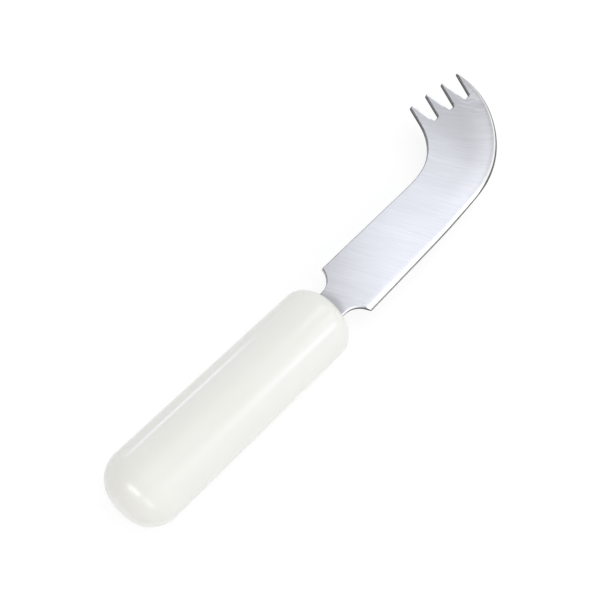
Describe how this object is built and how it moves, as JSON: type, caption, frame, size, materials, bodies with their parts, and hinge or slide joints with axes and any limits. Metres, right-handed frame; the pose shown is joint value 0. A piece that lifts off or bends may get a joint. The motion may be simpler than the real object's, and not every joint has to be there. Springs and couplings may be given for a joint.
{
  "type": "rocker knife",
  "caption": "Hook-tipped rocker knife with fork tines at its end, ground along its outer curve, on a thick round plastic handle moulded on its tang.",
  "frame": {"origin": "middle of the handle, on the handle's own axis", "axes": "+X along the handle from the butt to the tines, +Y towards the spine side that the hook bends to, +Z square to the blade"},
  "size_m": [0.2026, 0.0469, 0.0254],
  "materials": {
    "blade": "fine brushed streaks across the blade, with a bright ground bevel",
    "handle": "glossy off-white moulded plastic"
  },
  "bodies": {
    "root": {"blade": "blade", "handle": "handle"}
  },
  "joints": []
}
